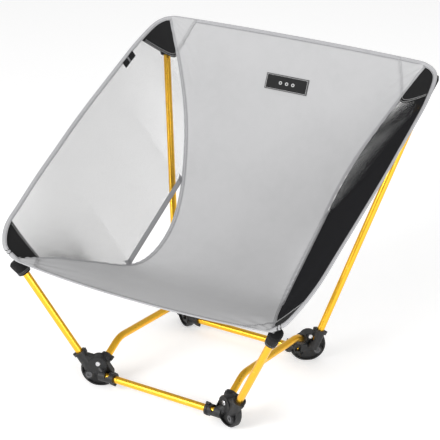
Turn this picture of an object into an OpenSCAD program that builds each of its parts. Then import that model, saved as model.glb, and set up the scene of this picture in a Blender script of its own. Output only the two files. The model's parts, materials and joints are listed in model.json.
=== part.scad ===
// Low backpacking chair: a four-legged tube base, four seat poles and a fabric sling.
// Millimetres, +Z up. The chair faces -Y. The origin is on the ground, at the middle of the outline.

/* [Tubes] */
// Outside diameter of every pole
pole_d = 12; // [11.6:0.1:12]
// Wall thickness of the poles
pole_wall = 1; // [0.6:0.1:1.5]
// Radial play of a pole in its socket
socket_play = 0.1; // [0.05:0.01:0.1]
// Diameter of the elastic cord inside the poles
cord_d = 2.6; // [2:0.1:3]

/* [Base] */
// Distance from the middle of the chair back to the front feet, as a negative Y
front_y = -170.8; // [-175:0.1:-165]
// Distance between the front feet and the rear feet
foot_run = 254; // [252:1:256]
// Half of the distance between the front feet
front_foot_x = 122.5; // [121:0.5:124]
// Half of the distance between the rear feet
rear_foot_x = 120.5; // [119:0.5:122]
// Height of the front cross pole
cross_front_z = 22; // [21:0.5:23]
// Height of the rear cross pole
cross_rear_z = 20; // [20:0.5:22]
// Half of the distance between the two side rails
rail_x = 119.5; // [119:0.5:120]
// Bend radius of the side rails
rail_bend_r = 40; // [30:1:45]

/* [Feet] */
// Radius of the round foot
foot_r = 30.5; // [30:0.5:32]
// Thickness of the foot at its rim
foot_t = 11; // [9:0.5:12]
// Thickness of the foot inside its rim
foot_web = 4; // [3:0.5:5]
// Length of the flat that the foot rests on
foot_flat = 14; // [10:1:18]

/* [Sling] */
// Thickness of the sling's cloth, with its hems
cloth_t = 1.2; // [1:0.1:1.5]
// Radius of the edge binding
binding_r = 3; // [2.5:0.1:3.5]
// Width of the strap along each hip slot
strap_w = 8; // [6:0.5:10]
// Width of the back label
label_w = 82; // [80:1:100]
// Height of the back label
label_h = 29; // [22:1:32]

/* [Hidden] */
$fn = 48;
hull_fn = 20;

// Colours
moulded = "#2b2b2d";
anodised = "#f2bf2e";
silver = "#c9c9cc";
pin_grey = "#5a5a5c";
elastic = "#3a3a3a";
pale_cloth = "#c4c4c4";
edge_tape = "#b2b2b4";
dark_mesh = "#3c3c3e";
dark_patch = "#262627";

pole_r = pole_d / 2;
bore_r = pole_r + socket_play;
tube_in_r = pole_r - pole_wall;
socket_r = 9.2;
collar_r = 10.4;
collar_len = 4;
seat_depth = 30;
cross_depth = 24;
rail_depth = 18;
socket_floor = 5;

// ---- Vectors -------------------------------------------------------------------------------
function unit(v) = v / norm(v);
function lerp(a, b, t) = a + (b - a) * t;
function flip(p) = [-p[0], p[1], p[2]];

// A point on the smooth curve through the points p, at a position t counted in points
function spline(p, t) =
    let (n = len(p), i = max(0, min(n - 2, floor(t))), f = t - i,
         a = i > 0 ? p[i - 1] : 2 * p[0] - p[1], b = p[i], c = p[i + 1],
         d = i < n - 2 ? p[i + 2] : 2 * p[n - 1] - p[n - 2])
    0.5 * (2 * b + (c - a) * f + (2 * a - 5 * b + 4 * c - d) * f * f
           + (3 * b - a - 3 * c + d) * f * f * f);

// ---- Where the frame's pieces are, on the right-hand side, from the line of the front feet ----
// Each hub: ground point, turn of its plate, seat socket, cross socket, rail socket and rivet
pole_mouth_front = [153, -15.6, 59];
pole_tip_front = [239.5, -55.9, 216];
pole_mouth_rear = [143.7, foot_run + 5.9, 59];
pole_tip_rear = [258, foot_run + 153, 485];
front_axis = unit(pole_tip_front - pole_mouth_front);
rear_axis = unit(pole_tip_rear - pole_mouth_rear);
cross_mouth_x = 88;
cross_front_y = -8;
cross_rear_y = foot_run - 7;
rail_slope = -4;
rail_leave = 30;
rail_mouth_front = [17, 46.5];
rail_mouth_rear = [foot_run - 18, 46];
front_plate_turn = -25;
rear_plate_turn = 35;
foot_centre_z = sqrt(foot_r * foot_r - foot_flat * foot_flat / 4);
rivet_front = [2.5, 42];
rivet_rear = [6, 47];
pin_spot = [18, 21];
core_r = 15;
core_half = 9.5;
// Outline of the web from the seat socket to the cross socket, in the plate, and how far it stands each way
hub_web = [[28, 56], [8, 51], [-8, 49.5], [-22, 26], [-22, 14], [-2, 18], [8, 28], [20, 34]];
hub_web_back = -6;
hub_web_face = 8;
// Hollow in the web's face between the core and the cross socket, and its depth
hub_hollow = [[-13, 38], [-19.5, 27], [-19.5, 19], [-12, 20], [-9.5, 26], [-11, 32]];
hub_hollow_depth = 4;
// Outline of what stays of the round foot: the hub stands in place of the rest
foot_keep = [[60, -10], [60, 50], [-6.2, 50], [-42.1, -10]];
rivet_seat = core_half + 0.6;
rivet_boss_r = 6;
rear_joint_at = 208;

// ---- The sling's guide curves, on the right-hand side, from front to top -----------------------
// Outer edge of the side, from the front corner to the top corner
side_edge = [
    [243, -66, 223], [262, -63, 240], [276, -38, 264], [281, 5, 286], [283, 55, 315],
    [284, 105, 342], [285, 155, 369], [285, 205, 395], [284, 252, 419], [283, 300, 443],
    [281, 345, 466], [272, 393, 491], [250, 409, 504]
];
// Seam between the centre panel and the side panel
side_seam = [
    [243, -66, 223], [226, -34, 216], [209, -1, 208], [191, 33, 194], [173, 68, 180],
    [147, 123, 161], [133, 169, 167], [129, 219, 196], [136, 262, 240], [150, 298, 298],
    [171, 333, 358], [205, 370, 425], [250, 409, 504]
];
// Middle of the centre panel
mid_line = [
    [0, -80, 219], [0, -44, 207], [0, -8, 194], [0, 28, 180], [0, 66, 166],
    [0, 123, 150], [0, 177, 152], [0, 236, 182], [0, 283, 232], [0, 320, 290],
    [0, 353, 352], [0, 385, 422], [0, 417, 505]
];
rows = len(mid_line) - 1;
sag_power = 2.2;
slot_low = 5.05;
slot_high = 8.35;
// Where the corner patches end, at the seam and at the outer edge; a gusset ends at the same seam point
patch_front_end = [1.35, 2.4];
patch_rear_end = [11.25, 10.2];
patch_front_tip = [0.35, 0.35];
patch_rear_tip = [11.75, 11.75];
gusset_front_end = patch_front_end[0];
gusset_rear_end = patch_rear_end[0];
gusset_front_u = 0.78;
gusset_rear_u = 0.77;
end_gap = 0.03;
tab_rows = [9.02, 9.72];
seam_gap = 0.8;
strap_gap = 0.6;
label_row = 11.08;

// A point of the centre panel: u runs from the middle to the seam, v from front to top
function panel_point(u, v) =
    let (s = spline(side_seam, v), c = spline(mid_line, v), k = pow(abs(u), sag_power))
    [s[0] * u, c[1] + (s[1] - c[1]) * k, c[2] + (s[2] - c[2]) * k];

// The inner edge of the side panel: the seam, and a straight line across the hip slot
function side_inner(v) =
    v > slot_low && v < slot_high
        ? lerp(spline(side_seam, slot_low), spline(side_seam, slot_high), (v - slot_low) / (slot_high - slot_low))
        : spline(side_seam, v);

// A point of the side panel: d is the distance in from the outer edge as a part of the width
function side_point(s, v) = lerp(side_inner(v), spline(side_edge, v), s);

// ---- Solids from grids and paths -----------------------------------------------------------
// The normal of a grid of points g at place i, j
function grid_normal(g, i, j) =
    let (n = len(g) - 1, m = len(g[0]) - 1,
         du = g[min(i + 1, n)][j] - g[max(i - 1, 0)][j],
         dv = g[i][min(j + 1, m)] - g[i][max(j - 1, 0)])
    unit(cross(du, dv));

// A sheet of thickness t around a grid of points, closed all round, lifted by the given amount
module sheet(g, t, lift = 0) {
    n = len(g);
    m = len(g[0]);
    top = [for (i = [0:n - 1]) for (j = [0:m - 1]) g[i][j] + grid_normal(g, i, j) * (lift + t / 2)];
    bottom = [for (i = [0:n - 1]) for (j = [0:m - 1]) g[i][j] + grid_normal(g, i, j) * (lift - t / 2)];
    k = n * m;
    faces = concat(
        [for (i = [0:n - 2]) for (j = [0:m - 2]) for (f = [0, 1])
            f == 0 ? [i * m + j, i * m + j + 1, (i + 1) * m + j + 1]
                   : [i * m + j, (i + 1) * m + j + 1, (i + 1) * m + j]],
        [for (i = [0:n - 2]) for (j = [0:m - 2]) for (f = [0, 1])
            f == 0 ? [k + i * m + j, k + (i + 1) * m + j + 1, k + i * m + j + 1]
                   : [k + i * m + j, k + (i + 1) * m + j, k + (i + 1) * m + j + 1]],
        [for (i = [0:n - 2]) for (f = [0, 1])
            f == 0 ? [i * m, (i + 1) * m, k + (i + 1) * m] : [i * m, k + (i + 1) * m, k + i * m]],
        [for (i = [0:n - 2]) for (f = [0, 1])
            f == 0 ? [(i + 1) * m + m - 1, i * m + m - 1, k + i * m + m - 1]
                   : [(i + 1) * m + m - 1, k + i * m + m - 1, k + (i + 1) * m + m - 1]],
        [for (j = [0:m - 2]) for (f = [0, 1])
            f == 0 ? [j + 1, j, k + j] : [j + 1, k + j, k + j + 1]],
        [for (j = [0:m - 2]) for (f = [0, 1])
            f == 0 ? [(n - 1) * m + j, (n - 1) * m + j + 1, k + (n - 1) * m + j + 1]
                   : [(n - 1) * m + j, k + (n - 1) * m + j + 1, k + (n - 1) * m + j]]
    );
    polyhedron(concat(top, bottom), faces, convexity = 6);
}

// A round bar of radius r swept along the points p, or a tube where inner is over 0
module sweep(p, r, sides = 8, inner = 0) {
    n = len(p);
    along = [for (i = [0:n - 1]) unit(p[min(i + 1, n - 1)] - p[max(i - 1, 0)])];
    radii = inner > 0 ? [r, inner] : [r];
    k = n * sides;
    rings = [for (q = radii) for (i = [0:n - 1])
        let (a = unit(cross(along[i], [0.31, 0.17, 0.93])), b = cross(along[i], a))
        for (j = [0:sides - 1]) p[i] + q * (a * cos(360 * j / sides) + b * sin(360 * j / sides))];
    skin = [for (i = [0:n - 2]) for (j = [0:sides - 1]) for (f = [0, 1])
        let (l = (j + 1) % sides)
        f == 0 ? [i * sides + j, (i + 1) * sides + j, (i + 1) * sides + l]
               : [i * sides + j, (i + 1) * sides + l, i * sides + l]];
    lining = [for (f = skin) [k + f[0], k + f[2], k + f[1]]];
    caps = [[for (j = [0:sides - 1]) j], [for (j = [sides - 1:-1:0]) (n - 1) * sides + j]];
    lips = [for (j = [0:sides - 1]) for (end = [0, 1])
        let (l = (j + 1) % sides, e = end * (n - 1) * sides)
        end == 0 ? [e + j, e + l, k + e + l, k + e + j] : [e + l, e + j, k + e + j, k + e + l]];
    polyhedron(rings, inner > 0 ? concat(skin, lining, lips) : concat(skin, caps), convexity = 6);
}

// A round bar from p to q
module rod(p, q, r) {
    d = q - p;
    translate(p)
        rotate([0, acos(d[2] / norm(d)), atan2(d[1], d[0])])
            cylinder(h = norm(d), r = r);
}

// A straight pole from p to q
module pole(p, q) {
    along = unit(q - p);
    difference() {
        rod(p, q, pole_r);
        rod(p - along, q + along, tube_in_r);
    }
}

module left() {
    mirror([1, 0, 0]) children();
}

// Everything is drawn from the line of the front feet, and moved to the middle of the outline here
module place() {
    translate([0, front_y, 0]) children();
}

// Sets its children upright in a hub's plate: X outwards along the plate, Y up, Z towards the front
module in_plate(x, y, turn) {
    translate([x, y, 0]) rotate([0, 0, turn]) rotate([90, 0, 0]) children();
}

// ---- Hubs and feet ---------------------------------------------------------------------------
module socket_shell(mouth, along, depth) {
    rod(mouth - along * (depth + socket_floor), mouth, socket_r);
    rod(mouth - along * collar_len, mouth, collar_r);
}

// Two small ears beside a socket's mouth
module socket_ears(mouth, along, side) {
    for (s = [-1, 1])
        rod(mouth - along * 6 + side * s * 9.6, mouth + along * 0.6 + side * s * 10.4, 2.4);
}

// A web between the core and a socket
module web(from, to, r) {
    hull() {
        translate(from) sphere(r = r, $fn = hull_fn);
        translate(to) sphere(r = r, $fn = hull_fn);
    }
}

// The hub without its bores; front tells which of the two kinds
module hub_outside(front) {
    x = front ? front_foot_x : rear_foot_x;
    y = front ? 0 : foot_run;
    turn = front ? front_plate_turn : rear_plate_turn;
    mouth = front ? pole_mouth_front : pole_mouth_rear;
    axis = front ? front_axis : rear_axis;
    rivet = front ? rivet_front : rivet_rear;
    cross_mouth = [cross_mouth_x, front ? cross_front_y : cross_rear_y, front ? cross_front_z : cross_rear_z];
    rail = front ? rail_mouth_front : rail_mouth_rear;
    rail_mouth = [rail_x, rail[0], rail[1]];
    rail_axis = [0, (front ? 1 : -1) * cos(rail_leave), sin(rail_leave)];
    out = [cos(turn), sin(turn), 0];
    socket_shell(mouth, axis, seat_depth);
    socket_ears(mouth, axis, unit(cross(cross(axis, out), axis)));
    socket_shell(cross_mouth, [-1, 0, 0], cross_depth);
    socket_ears(cross_mouth, [-1, 0, 0], [0, 0, 1]);
    socket_shell(rail_mouth, rail_axis, rail_depth);
    socket_ears(rail_mouth, rail_axis, [1, 0, 0]);
    in_plate(x, y, turn) {
        translate([3, 38, -core_half]) cylinder(h = 2 * core_half, r = core_r);
        translate([0, 0, hub_web_back]) linear_extrude(hub_web_face - hub_web_back) polygon(hub_web);
        translate([rivet[0], rivet[1], core_half - 2]) cylinder(h = rivet_seat - core_half + 2, r = rivet_boss_r);
        translate([pin_spot[0], pin_spot[1], foot_web / 2]) cylinder(h = 7, r = 8.2);
        translate([pin_spot[0] - 2.5, pin_spot[1], foot_web / 2]) cube([5, 16, 5.5]);
        translate([-2, 20, foot_web / 2]) cube([20, 4, 5.5]);
    }
    core = [x + 3 * out[0], y + 3 * out[1], 40];
    web(core, mouth - axis * 14, 7.5);
    web(core - [0, 0, 6], cross_mouth + [20, 0, 0], 7.5);
}

module hub_bores(front) {
    x = front ? front_foot_x : rear_foot_x;
    y = front ? 0 : foot_run;
    turn = front ? front_plate_turn : rear_plate_turn;
    mouth = front ? pole_mouth_front : pole_mouth_rear;
    axis = front ? front_axis : rear_axis;
    rivet = front ? rivet_front : rivet_rear;
    cross_mouth = [cross_mouth_x, front ? cross_front_y : cross_rear_y, front ? cross_front_z : cross_rear_z];
    rail = front ? rail_mouth_front : rail_mouth_rear;
    rail_mouth = [rail_x, rail[0], rail[1]];
    rail_axis = [0, (front ? 1 : -1) * cos(rail_leave), sin(rail_leave)];
    rod(mouth - axis * seat_depth, mouth + axis * 5, bore_r);
    rod(cross_mouth + [cross_depth, 0, 0], cross_mouth - [5, 0, 0], bore_r);
    rod(rail_mouth - rail_axis * rail_depth, rail_mouth + rail_axis * 5, bore_r);
    in_plate(x, y, turn) {
        translate([rivet[0], rivet[1], 4]) cylinder(h = 20, r = 2.5);
        translate([rivet[0], rivet[1], rivet_seat]) cylinder(h = 8, r = rivet_boss_r);
        translate([pin_spot[0], pin_spot[1], foot_web / 2 - 1]) cylinder(h = 20, r = 5.6);
        translate([0, 0, hub_web_face - hub_hollow_depth]) linear_extrude(20) polygon(hub_hollow);
    }
}

module hub(front) {
    color(moulded) difference() {
        hub_outside(front);
        hub_bores(front);
    }
}

// Round foot: a rim, a thin web inside it and a flat to rest on
module foot(front) {
    x = front ? front_foot_x : rear_foot_x;
    y = front ? 0 : foot_run;
    turn = front ? front_plate_turn : rear_plate_turn;
    rim = 3;
    bevel = 1.2;
    color(dark_patch) difference() {
        in_plate(x, y, turn) intersection() {
            translate([0, 0, -foot_t]) linear_extrude(2 * foot_t) polygon(foot_keep);
            translate([1.3, foot_centre_z, 0]) difference() {
                union() {
                    translate([0, 0, -foot_t / 2 + bevel]) cylinder(h = foot_t - 2 * bevel, r = foot_r);
                    for (s = [0, 1]) mirror([0, 0, s])
                        translate([0, 0, foot_t / 2 - bevel])
                            cylinder(h = bevel, r1 = foot_r, r2 = foot_r - bevel);
                }
                for (s = [0, 1]) mirror([0, 0, s])
                    translate([0, 0, foot_web / 2]) cylinder(h = foot_t, r = foot_r - rim);
            }
        }
        translate([x - 60, y - 60, -20]) cube([120, 120, 20]);
        hub_outside(front);
        in_plate(x, y, turn) translate([pin_spot[0], pin_spot[1], -10]) cylinder(h = 20, r = 3);
    }
}

// Grey pin that holds a foot to its hub: a recessed head, and a shank through the foot's web
module foot_pin(front) {
    x = front ? front_foot_x : rear_foot_x;
    y = front ? 0 : foot_run;
    turn = front ? front_plate_turn : rear_plate_turn;
    color(pin_grey) in_plate(x, y, turn) translate([pin_spot[0], pin_spot[1], 0]) {
        translate([0, 0, -foot_web / 2 - 1]) cylinder(h = foot_web + 1.5, r = 3);
        difference() {
            translate([0, 0, foot_web / 2]) cylinder(h = 7.6, r = 5.6);
            translate([0, 0, foot_web / 2 + 6]) cylinder(h = 3, r = 2.6);
        }
    }
}

// Rivet with a domed head
module rivet(front) {
    x = front ? front_foot_x : rear_foot_x;
    y = front ? 0 : foot_run;
    turn = front ? front_plate_turn : rear_plate_turn;
    spot = front ? rivet_front : rivet_rear;
    color(silver) in_plate(x, y, turn) translate([spot[0], spot[1], 0]) difference() {
        union() {
            translate([0, 0, 4]) cylinder(h = rivet_seat - 3.5, r = 2.5);
            translate([0, 0, rivet_seat]) cylinder(h = 0.9, r1 = 4.2, r2 = 3.4);
        }
        translate([0, 0, rivet_seat + 0.3]) cylinder(h = 2, r = 1.5);
    }
}

module hub_rivets() {
    place() for (front = [true, false]) {
        rivet(front);
        left() rivet(front);
    }
}

module foot_pins() {
    place() for (front = [true, false]) {
        foot_pin(front);
        left() foot_pin(front);
    }
}

// ---- Base poles ------------------------------------------------------------------------------
cross_end_x = cross_mouth_x + cross_depth;

module cross_pole(y, z) {
    color(anodised) difference() {
        pole([-cross_end_x, y, z], [cross_end_x, y, z]);
        for (s = [-1, 1]) for (a = [0, 55])
            translate([s * (cross_mouth_x - 6), y, z]) rotate([a, 0, 0])
                translate([0, 0, 3]) cylinder(h = 8, r = 0.9, $fn = 24);
    }
}

module cross_cord(y, z) {
    color(elastic) rod([-cross_end_x, y, z], [cross_end_x, y, z], cord_d / 2);
}

// Side rail seen from the side, X being the distance from the front feet and Y the height
rail_level = [foot_run / 2, 60.5];
function meet(p, a, q, b) =
    let (s = ((q[0] - p[0]) * sin(b) - (q[1] - p[1]) * cos(b)) / sin(b - a))
    p + s * [cos(a), sin(a)];
rail_knee_front = meet(rail_mouth_front, rail_leave, rail_level, rail_slope);
rail_knee_rear = meet(rail_level, rail_slope, rail_mouth_rear, -rail_leave);
rail_end_front = rail_mouth_front - rail_depth * [cos(rail_leave), sin(rail_leave)];
rail_end_rear = rail_mouth_rear + rail_depth * [cos(rail_leave), -sin(rail_leave)];

// Points along a downward bend at a knee, from direction a to direction b
function bend_points(knee, a, b) =
    let (reach = rail_bend_r * tan((a - b) / 2), start = knee - reach * [cos(a), sin(a)],
         centre = start + rail_bend_r * [sin(a), -cos(a)])
    [for (t = [a:(b - a) / 7:b - 0.01]) centre + rail_bend_r * [-sin(t), cos(t)]];

rail_line = concat(
    [rail_end_front, rail_mouth_front],
    bend_points(rail_knee_front, rail_leave, rail_slope),
    bend_points(rail_knee_rear, rail_slope, -rail_leave),
    [rail_mouth_rear, rail_end_rear]);
rail_path = [for (p = rail_line) [rail_x, p[0], p[1]]];

module side_rail() {
    color(anodised) sweep(rail_path, pole_r, 20, tube_in_r);
}

module side_cord() {
    color(elastic) sweep(rail_path, cord_d / 2);
}

// ---- Seat poles ------------------------------------------------------------------------------
front_foot_end = pole_mouth_front - front_axis * (seat_depth - 0.3);
rear_foot_end = pole_mouth_rear - rear_axis * (seat_depth - 0.3);
rear_joint = pole_mouth_rear + rear_axis * rear_joint_at;
tip_len = 12;
tip_seat = 16;
tip_bevel = 2;
pocket_gap = 0.05;
front_pole_top = pole_tip_front - front_axis * tip_len;
rear_pole_top = pole_tip_rear - rear_axis * tip_len;
ferrule_half = 34;

module front_pole() {
    color(anodised) pole(front_foot_end, front_pole_top);
}

module rear_pole_lower() {
    color(anodised) pole(rear_foot_end, rear_joint);
}

module rear_pole_upper() {
    color(anodised) pole(rear_joint, rear_pole_top);
}

// Sleeve inside the joint of the two rear pole sections
module rear_ferrule() {
    color(silver) difference() {
        rod(rear_joint - rear_axis * ferrule_half, rear_joint + rear_axis * ferrule_half, tube_in_r);
        rod(rear_joint - rear_axis * 40, rear_joint + rear_axis * 40, tube_in_r - 1);
    }
}

module rear_pole_cord() {
    color(elastic) rod(rear_foot_end + rear_axis * 2, rear_pole_top - rear_axis * tip_seat, cord_d / 2);
}

// Plug in the top of a seat pole, with a rounded nose
module pole_tip(top, axis) {
    color(moulded) {
        rod(top - axis * tip_seat, top + axis, tube_in_r);
        tip_body(top, axis, 0);
    }
}

// The part of a tip that stands over the pole's end: a bar with a bevelled end, larger all round by gap
module tip_body(top, axis, gap) {
    translate(top) rotate([0, acos(axis[2]), atan2(axis[1], axis[0])]) {
        cylinder(h = tip_len - tip_bevel, r = pole_r + gap);
        translate([0, 0, tip_len - tip_bevel])
            cylinder(h = tip_bevel, r1 = pole_r + gap, r2 = pole_r + gap - tip_bevel);
    }
}

// Pocket that holds a pole's top under a corner: a flat sleeve, wide at the cloth
module pocket(top, axis, across, near, wide, narrow, long) {
    color(dark_patch) difference() {
        hull() {
            for (s = [-1, 1]) {
                translate(top - axis * long + across * s * narrow) sphere(r = 8, $fn = hull_fn);
                translate(top + axis * near + across * s * wide) sphere(r = 6, $fn = hull_fn);
            }
        }
        rod(top - axis * (long + 30), top + axis, pole_r + pocket_gap);
        tip_body(top, axis, pocket_gap);
    }
}

// ---- Sling -----------------------------------------------------------------------------------
function steps(a, b, n) = [for (i = [0:n]) a + (b - a) * i / n];

// How far out the centre panel goes at v, before a gusset takes over
function panel_reach(v) =
    v < gusset_front_end ? lerp(gusset_front_u, 1, v / gusset_front_end) :
    v > gusset_rear_end ? lerp(1, gusset_rear_u, (v - gusset_rear_end) / (rows - gusset_rear_end)) : 1;

edge_in = 2 * binding_r + 0.6;
row_first = 0.22;
row_last = 11.92;
panel_rows = concat(
    [row_first, 0.7, gusset_front_end],
    [for (v = [2:10]) v],
    [10.6, gusset_rear_end, 11.5, 11.7, row_last]);

module seat_panel() {
    cols = [-1, -0.86, -0.7, -0.5, -0.25, 0, 0.25, 0.5, 0.7, 0.86, 1];
    g = [for (v = panel_rows) [for (u = cols)
        let (r = panel_reach(v), w = spline(side_seam, v)[0] * r - seam_gap)
        panel_point(u * w / spline(side_seam, v)[0], v)]];
    place() color(pale_cloth) sheet(g, cloth_t);
}

function side_wide(v) = norm(spline(side_edge, v) - side_inner(v));

// A grid over the side panel from v0 to v1, each given as its v at the seam and at the outer edge
function side_grid(v0, v1, n, lo, hi, m) =
    [for (t = steps(0, 1, n))
        let (v = lerp(v0, v1, t),
             a = min(0.45, lo / side_wide(v[0])), b = max(0.55, 1 - hi / side_wide(v[1])))
        [for (s = steps(a, b, m)) side_point(s, lerp(v[0], v[1], s))]];

module mesh_panel() {
    low = slot_low + 0.02;
    high = slot_high - 0.02;
    below = side_grid(patch_front_end, [slot_low, slot_low], 4, seam_gap, edge_in, 4);
    middle = side_grid([low, low], [high, high], 7, strap_w + seam_gap, edge_in, 4);
    above = side_grid([slot_high, slot_high], patch_rear_end, 4, seam_gap, edge_in, 4);
    color(dark_mesh) sheet(concat(below, middle, above), cloth_t);
}

module slot_strap() {
    color(edge_tape) sheet([for (v = steps(slot_low + 0.12, slot_high - 0.12, 6))
        [for (s = [strap_gap, strap_w / 2, strap_w]) side_point(s / side_wide(v), v)]], cloth_t);
}

// Black patch over the end of a side panel
module patch(front) {
    gap = [end_gap, end_gap];
    v0 = front ? patch_front_tip : patch_rear_end + gap;
    v1 = front ? patch_front_end - gap : patch_rear_tip;
    color(dark_patch) sheet(side_grid(v0, v1, 5, seam_gap, edge_in, 3), cloth_t);
}

// Pale gusset over the corner of the centre panel
module gusset(front) {
    list = front ? [row_first, 0.6, 1, gusset_front_end - 0.12] : [gusset_rear_end + 0.06, 11.5, 11.7, row_last];
    g = [for (v = list)
        let (w = spline(side_seam, v)[0], lo = panel_reach(v) * w + 0.6, hi = w - seam_gap)
        [for (x = steps(lo, hi, 3)) panel_point(x / w, v)]];
    color(pale_cloth) sheet(g, cloth_t);
}

// The sling's outer edge, drawn in by the binding's radius
function side_rim(v) =
    let (e = spline(side_edge, v), t = spline(side_edge, min(v + 0.02, rows)) - spline(side_edge, max(v - 0.02, 0)),
         to = panel_point(0.55, max(1.6, min(v, 11))) - e, n = to - unit(t) * (to * unit(t)))
    e + unit(n) * binding_r;
function front_rim(u) = panel_point(u, 0) + unit(panel_point(u, 0.3) - panel_point(u, 0)) * binding_r;
function top_rim(u) = panel_point(u, rows) + unit(panel_point(u, rows - 0.3) - panel_point(u, rows)) * binding_r;

module binding_side() {
    color(edge_tape) sweep([for (v = steps(patch_front_end[1] + end_gap, patch_rear_end[1], 16)) side_rim(v)],
                           binding_r);
}

module binding_corner(front) {
    path = front
        ? concat([for (u = steps(gusset_front_u + 0.004, 0.96, 4)) front_rim(u)],
                 [for (v = steps(0.3, patch_front_end[1] - 0.02, 9)) side_rim(v)])
        : concat([for (v = steps(patch_rear_end[1] + end_gap, 11.8, 8)) side_rim(v)],
                 [for (u = steps(0.97, gusset_rear_u + 0.004, 4)) top_rim(u)]);
    color(edge_tape) sweep(path, binding_r);
}

module binding_front() {
    u = gusset_front_u;
    place() color(edge_tape) sweep([for (k = steps(-u, u, 14)) front_rim(k)], binding_r);
}

module binding_top() {
    u = gusset_rear_u;
    place() color(edge_tape) sweep([for (k = steps(-u, u, 14)) top_rim(k)], binding_r);
}

// Sewn label high on the back, facing the sitter
module back_label() {
    lift = cloth_t / 2 + 0.9;
    half = label_w / 2;
    reach = label_h / 2 / norm(mid_line[12] - mid_line[11]);
    g = [for (v = steps(label_row - reach, label_row + reach, 2)) [for (x = steps(-half, half, 4))
        panel_point(x / spline(side_seam, v)[0], v)]];
    place() color(dark_patch) sheet(g, 0.6, -lift);
}

// Short webbing tab sewn under the left edge
module side_tab() {
    place() left() color(dark_patch) sheet([for (v = steps(tab_rows[0], tab_rows[1], 3))
        [for (s = [8, 13, 18]) side_point(1 - s / side_wide(v), v)]], 1, 1.3);
}

front_across = unit(cross(front_axis, [0.669, 0.254, -0.699]));
rear_across = unit(cross(rear_axis, [0.637, 0.477, -0.606]));

module pocket_front() {
    pocket(front_pole_top, front_axis, front_across, 4, 15, 3, 9);
}

module pocket_rear() {
    pocket(rear_pole_top, rear_axis, rear_across, 4, 15, 5, 42);
}

place() left() hub(true);  // hub_front_left
place() hub(true);  // hub_front_right
place() left() hub(false);  // hub_rear_left
place() hub(false);  // hub_rear_right
place() left() foot(true);  // foot_front_left
place() foot(true);  // foot_front_right
place() left() foot(false);  // foot_rear_left
place() foot(false);  // foot_rear_right
foot_pins();
hub_rivets();
place() cross_pole(cross_front_y, cross_front_z);  // cross_pole_front
place() cross_pole(cross_rear_y, cross_rear_z);  // cross_pole_rear
place() left() side_rail();  // side_rail_left
place() side_rail();  // side_rail_right
place() cross_cord(cross_front_y, cross_front_z);  // shock_cord_front
place() cross_cord(cross_rear_y, cross_rear_z);  // shock_cord_rear
place() left() side_cord();  // shock_cord_left
place() side_cord();  // shock_cord_right
place() left() front_pole();  // front_pole_left
place() front_pole();  // front_pole_right
place() left() rear_pole_lower();  // rear_pole_lower_left
place() rear_pole_lower();  // rear_pole_lower_right
place() left() rear_pole_upper();  // rear_pole_upper_left
place() rear_pole_upper();  // rear_pole_upper_right
place() left() rear_ferrule();  // rear_ferrule_left
place() rear_ferrule();  // rear_ferrule_right
place() left() rear_pole_cord();  // rear_pole_cord_left
place() rear_pole_cord();  // rear_pole_cord_right
place() left() pole_tip(front_pole_top, front_axis);  // tip_front_left
place() pole_tip(front_pole_top, front_axis);  // tip_front_right
place() left() pole_tip(rear_pole_top, rear_axis);  // tip_rear_left
place() pole_tip(rear_pole_top, rear_axis);  // tip_rear_right
place() left() pocket_front();  // pocket_front_left
place() pocket_front();  // pocket_front_right
place() left() pocket_rear();  // pocket_rear_left
place() pocket_rear();  // pocket_rear_right
place() left() patch(true);  // patch_front_left
place() patch(true);  // patch_front_right
place() left() patch(false);  // patch_rear_left
place() patch(false);  // patch_rear_right
place() left() gusset(true);  // gusset_front_left
place() gusset(true);  // gusset_front_right
place() left() gusset(false);  // gusset_rear_left
place() gusset(false);  // gusset_rear_right
seat_panel();
place() left() mesh_panel();  // mesh_panel_left
place() mesh_panel();  // mesh_panel_right
place() left() slot_strap();  // slot_strap_left
place() slot_strap();  // slot_strap_right
binding_top();
binding_front();
place() left() binding_side();  // binding_left
place() binding_side();  // binding_right
place() left() binding_corner(true);  // binding_corner_front_left
place() binding_corner(true);  // binding_corner_front_right
place() left() binding_corner(false);  // binding_corner_rear_left
place() binding_corner(false);  // binding_corner_rear_right
back_label();
side_tab();
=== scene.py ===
import json
import math

import bpy
import numpy as np
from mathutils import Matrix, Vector


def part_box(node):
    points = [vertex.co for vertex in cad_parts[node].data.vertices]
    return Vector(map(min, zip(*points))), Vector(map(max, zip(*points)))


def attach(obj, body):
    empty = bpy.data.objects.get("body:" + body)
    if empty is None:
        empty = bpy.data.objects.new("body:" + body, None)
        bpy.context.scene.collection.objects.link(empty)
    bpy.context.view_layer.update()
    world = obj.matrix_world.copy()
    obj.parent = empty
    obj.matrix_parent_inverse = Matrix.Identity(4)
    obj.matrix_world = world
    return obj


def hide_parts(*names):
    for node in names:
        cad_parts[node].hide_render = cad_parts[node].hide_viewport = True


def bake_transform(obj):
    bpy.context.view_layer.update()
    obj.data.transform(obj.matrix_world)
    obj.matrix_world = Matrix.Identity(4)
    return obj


bl_info = {
    "name": "Low Camp Chair",
    "version": (1, 0, 0),
    "blender": (4, 5, 0),
    "location": "3D View > Sidebar > Camp Chair",
    "description": "Builds the sling, trims and finishes of a low tube-framed camping chair",
    "category": "Object",
}

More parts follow.
